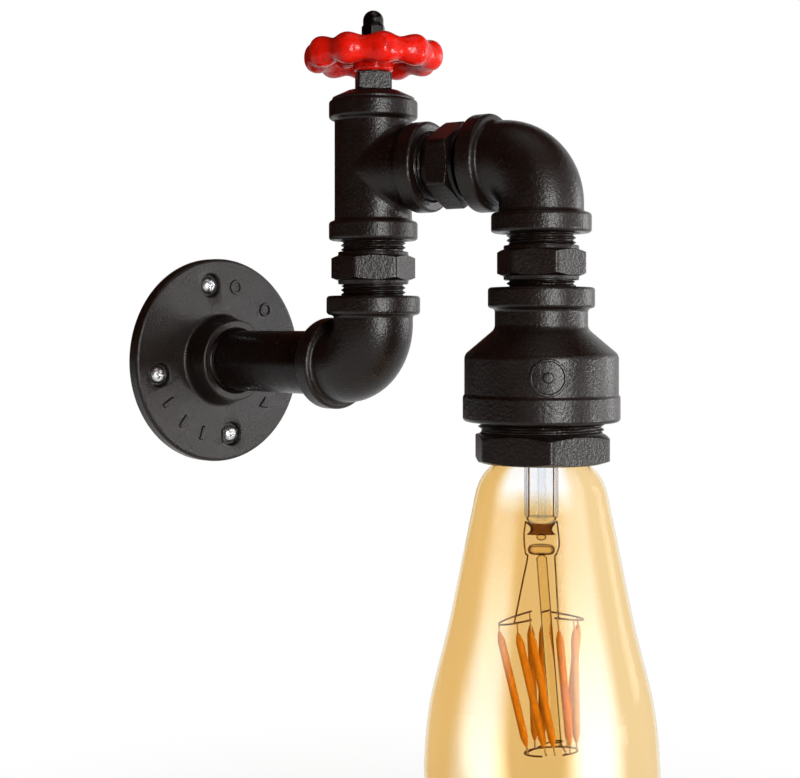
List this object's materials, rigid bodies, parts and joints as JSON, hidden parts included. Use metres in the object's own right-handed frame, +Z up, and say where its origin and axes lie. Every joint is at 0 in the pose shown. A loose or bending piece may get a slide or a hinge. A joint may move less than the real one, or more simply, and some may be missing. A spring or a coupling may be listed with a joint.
{
  "type": "pipe wall light",
  "caption": "Industrial wall light built from threaded black iron pipe fittings, with a handwheel switch on top and a hanging filament lamp.",
  "frame": {"origin": "centre of the screw circle, in the plane of the wall flange's back face", "axes": "+Y out of the flange's back face into the wall, -Y into the room, +Z up"},
  "size_m": [0.1075, 0.2368, 0.3393],
  "materials": {
    "black_iron": "rough satin",
    "zinc_steel": "bright zinc plate",
    "nickel_brass": "nickel-plated",
    "terminal_steel": "plated",
    "porcelain": "glazed",
    "seal_rubber": "matt",
    "cap_metal": "satin",
    "cap_insulator": "black glass",
    "amber_glass": "clear amber",
    "clear_glass": "clear",
    "filament_coat": "satin",
    "lead_wire": "dark",
    "circuit_board": "matt",
    "switch_plastic": "matt",
    "red_enamel": "gloss",
    "block_plastic": "satin",
    "brown_wire": "satin",
    "green_wire": "satin",
    "blue_wire": "satin"
  },
  "bodies": {
    "fixture": {"wall_flange": "black_iron", "wall_nipple": "black_iron", "lower_elbow": "black_iron", "column_nipple": "black_iron", "tee": "black_iron", "arm_nipple": "black_iron", "upper_elbow": "black_iron", "drop_nipple": "black_iron", "reducer": "black_iron", "socket_bushing": "black_iron", "top_plug": "black_iron", "wall_screws": "zinc_steel", "earth_tag": "zinc_steel", "holder_shell": "nickel_brass", "holder_contact": "nickel_brass", "switch_bush": "nickel_brass", "switch_pins": "nickel_brass", "block_tubes": "nickel_brass", "holder_terminals": "terminal_steel", "holder_screws": "terminal_steel", "block_screws": "terminal_steel", "holder_body": "porcelain", "holder_gasket": "seal_rubber", "switch_housing": "switch_plastic", "switch_base": "switch_plastic", "terminal_block": "block_plastic", "wire_live": "brown_wire", "wire_switched": "brown_wire", "wire_earth": "green_wire", "wire_neutral": "blue_wire"},
    "wheel_set": {"switch_wiper": "nickel_brass", "switch_shaft": "zinc_steel", "handwheel": "red_enamel", "wheel_washer": "zinc_steel", "wheel_nut": "zinc_steel"},
    "lamp_slide": {"bulb_contact": "nickel_brass"},
    "lamp": {"bulb_insulator": "cap_insulator", "bulb_cap": "cap_metal", "bulb_glass": "amber_glass", "bulb_stem": "clear_glass", "bulb_exhaust": "clear_glass", "bulb_rod": "clear_glass", "bulb_filaments": "filament_coat", "bulb_tips": "lead_wire", "bulb_bridges": "lead_wire", "bulb_hanger": "lead_wire", "bulb_leads": "lead_wire", "bulb_inner_leads": "lead_wire", "bulb_driver": "circuit_board"}
  },
  "joints": [
    {"name": "handwheel_turn", "type": "hinge", "parent": "fixture", "child": "wheel_set", "pos_m": [0, -0.107, 0.13], "axis": [0, 0, 1], "range_deg": [0, 270]},
    {"name": "lamp_drop", "type": "slide", "parent": "fixture", "child": "lamp_slide", "axis": [0, 0, -1], "range_m": [0, 0.01815]},
    {"name": "lamp_turn", "type": "hinge", "parent": "lamp_slide", "child": "lamp", "pos_m": [0.01696, -0.18226, -0.05], "axis": [0, 0, -1], "range_deg": [0, 1800]}
  ],
  "couplings": [
    {"joint": "lamp_drop", "follows": "lamp_turn", "m_per_rad": 0.00057773}
  ]
}
